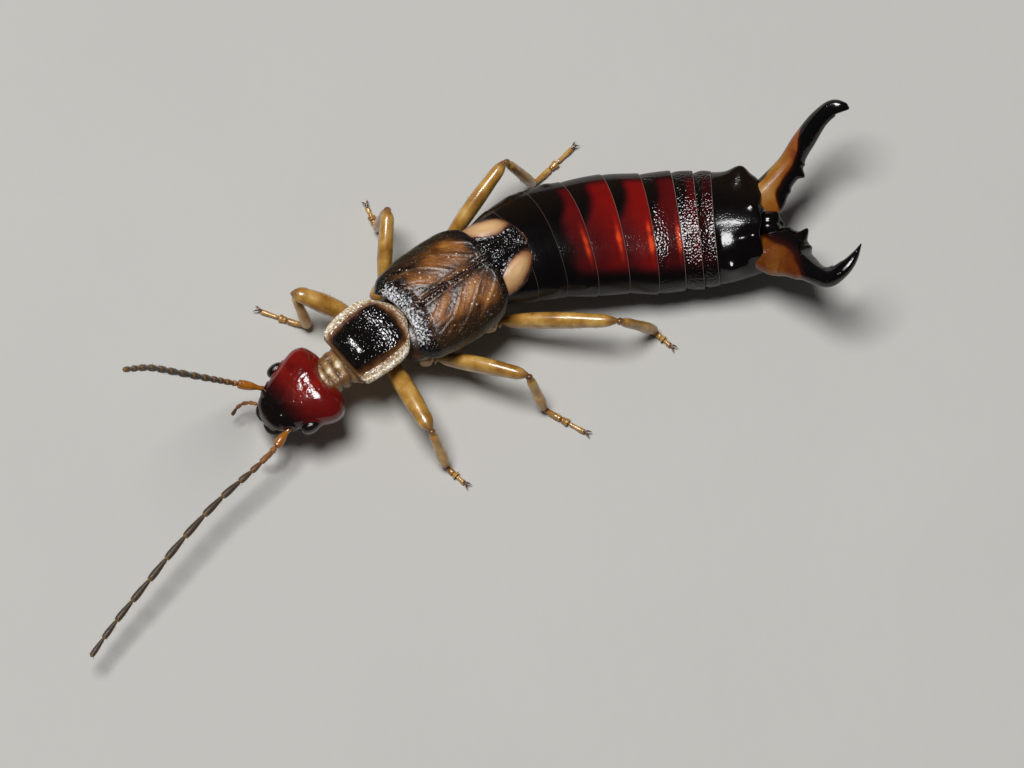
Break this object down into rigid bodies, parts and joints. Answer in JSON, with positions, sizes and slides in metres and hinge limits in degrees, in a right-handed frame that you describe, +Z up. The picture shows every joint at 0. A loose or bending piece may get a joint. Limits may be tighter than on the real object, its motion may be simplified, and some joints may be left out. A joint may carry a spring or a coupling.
{
  "type": "earwig",
  "caption": "Life-size still model of a male earwig standing on its feet, head turned and one feeler raised, with short wing covers and open toothed forceps.",
  "frame": {"origin": "middle of the footprint of the whole animal, on the floor under its feet", "axes": "+Z up; +X towards the tail and forceps, the longest way; the head and feelers point to -X and -Y; the animal's right side is towards +Y"},
  "size_m": [0.0176, 0.013, 0.007],
  "materials": {
    "head_cuticle": "deep red polished cuticle, black towards the mouth",
    "eye": "black faceted compound eye",
    "mouth_cuticle": "dark brown horny mouthparts",
    "feeler_cuticle": "brown, finely haired beads",
    "leg_cuticle": "amber, slightly see-through cuticle",
    "membrane": "soft pale folded membrane",
    "pronotum_cuticle": "black disc, brown ring and pale glossy margins",
    "belly_cuticle": "brown underside plates",
    "wing_cover": "bronze brown leathery cover with a silvery gloss",
    "wing_scale": "pale peach oval on a brown black scale",
    "abdomen_cuticle": "black and crimson polished, finely pitted cuticle",
    "forceps_cuticle": "orange brown at the root, polished black teeth and tips"
  },
  "bodies": {
    "root": {"head": "head_cuticle", "eye_left": "eye", "eye_right": "eye", "mouthparts": "mouth_cuticle", "palp_left": "feeler_cuticle", "antenna_left_scape": "leg_cuticle", "antenna_left_flagellum": "feeler_cuticle", "palp_right": "feeler_cuticle", "antenna_right_scape": "leg_cuticle", "antenna_right_flagellum": "feeler_cuticle", "neck": "membrane", "prothorax": "leg_cuticle", "pronotum": "pronotum_cuticle", "thorax": "belly_cuticle", "tegmen_left": "wing_cover", "wing_scale_left": "wing_scale", "tegmen_right": "wing_cover", "wing_scale_right": "wing_scale", "abdomen_1_2": "abdomen_cuticle", "abdomen_3": "abdomen_cuticle", "abdomen_4": "abdomen_cuticle", "abdomen_5": "abdomen_cuticle", "abdomen_6": "abdomen_cuticle", "abdomen_7": "abdomen_cuticle", "abdomen_8": "abdomen_cuticle", "abdomen_9": "abdomen_cuticle", "abdomen_10": "abdomen_cuticle", "pygidium": "abdomen_cuticle", "forceps_left": "forceps_cuticle", "forceps_right": "forceps_cuticle", "femur_fore_left": "leg_cuticle", "tibia_fore_left": "leg_cuticle", "tarsus_fore_left": "leg_cuticle", "femur_fore_right": "leg_cuticle", "tibia_fore_right": "leg_cuticle", "tarsus_fore_right": "leg_cuticle", "femur_mid_left": "leg_cuticle", "tibia_mid_left": "leg_cuticle", "tarsus_mid_left": "leg_cuticle", "femur_mid_right": "leg_cuticle", "tibia_mid_right": "leg_cuticle", "tarsus_mid_right": "leg_cuticle", "femur_hind_left": "leg_cuticle", "tibia_hind_left": "leg_cuticle", "tarsus_hind_left": "leg_cuticle", "femur_hind_right": "leg_cuticle", "tibia_hind_right": "leg_cuticle", "tarsus_hind_right": "leg_cuticle"}
  },
  "joints": []
}
